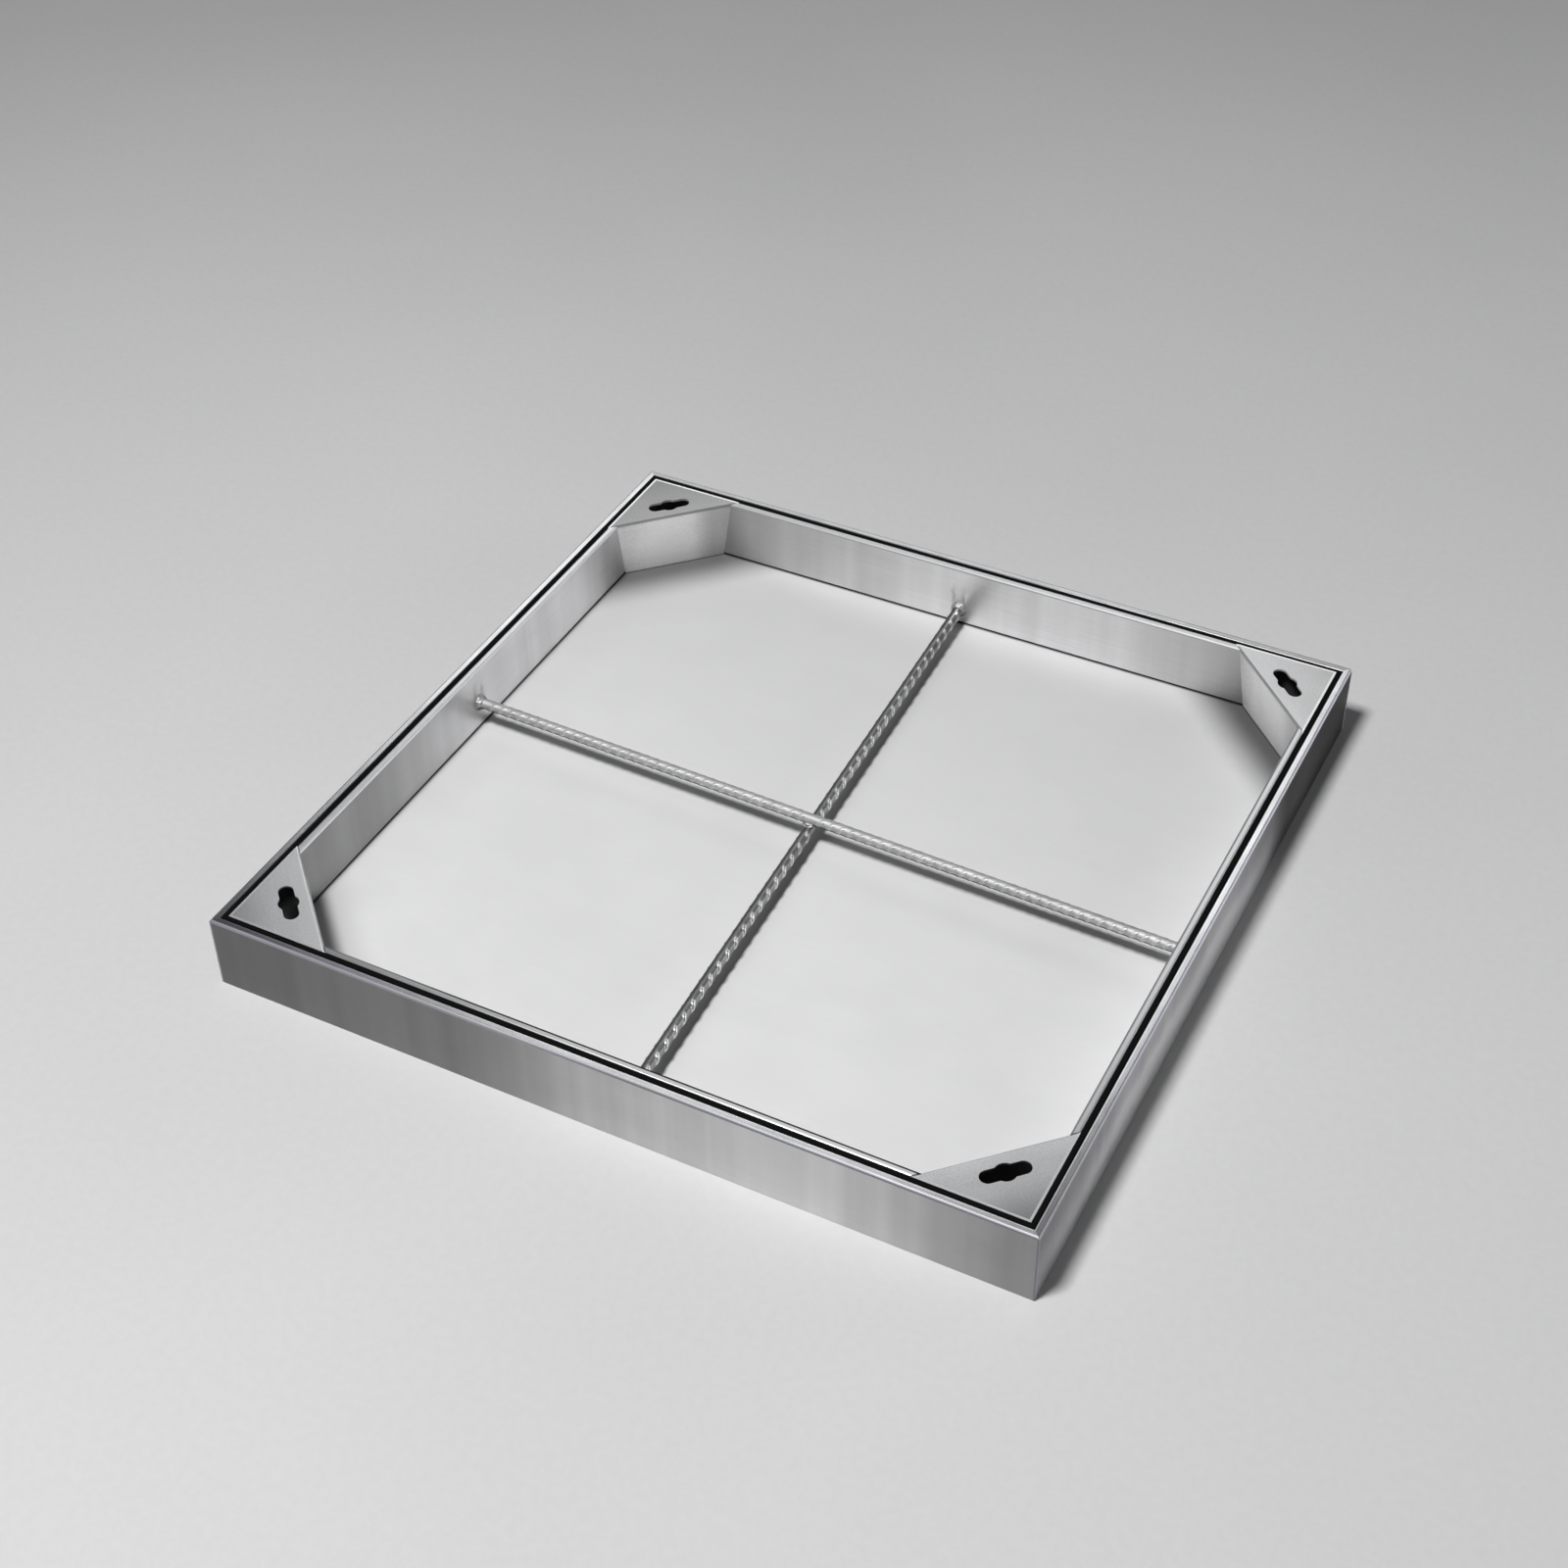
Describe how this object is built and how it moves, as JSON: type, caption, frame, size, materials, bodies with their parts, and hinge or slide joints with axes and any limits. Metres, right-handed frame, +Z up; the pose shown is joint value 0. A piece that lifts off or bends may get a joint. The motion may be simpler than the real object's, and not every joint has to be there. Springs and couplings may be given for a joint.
{
  "type": "recessed inspection cover",
  "caption": "Square recessed inspection cover: folded steel frame, black rubber seal and a lift-out tray with keyed lifting plates and crossed ribbed bars.",
  "frame": {"origin": "middle of the frame's underside, on the bedding plane", "axes": "+Z up, +X along the front side to the right, +Y from the front side to the back side"},
  "size_m": [0.6, 0.6, 0.058],
  "materials": {
    "frame_steel": "brushed lengthwise, polished along the bends",
    "seal_rubber": "matt black",
    "floor_steel": "fine satin",
    "tray_steel": "brushed lengthwise",
    "plate_steel": "fine satin",
    "bar_steel": "as rolled, ribbed",
    "weld_metal": "as welded, slightly heat tinted"
  },
  "bodies": {
    "root": {"frame_front": "frame_steel", "frame_right": "frame_steel", "frame_back": "frame_steel", "frame_left": "frame_steel", "seal_front": "seal_rubber", "seal_right": "seal_rubber", "seal_back": "seal_rubber", "seal_left": "seal_rubber", "tray_floor": "floor_steel", "tray_side_front": "tray_steel", "tray_side_right": "tray_steel", "tray_side_back": "tray_steel", "tray_side_left": "tray_steel", "corner_plate_front_left": "plate_steel", "corner_plate_front_right": "plate_steel", "corner_plate_back_right": "plate_steel", "corner_plate_back_left": "plate_steel", "lower_bar": "bar_steel", "upper_bar": "bar_steel", "bar_end_welds": "weld_metal", "crossing_weld": "weld_metal"}
  },
  "joints": []
}
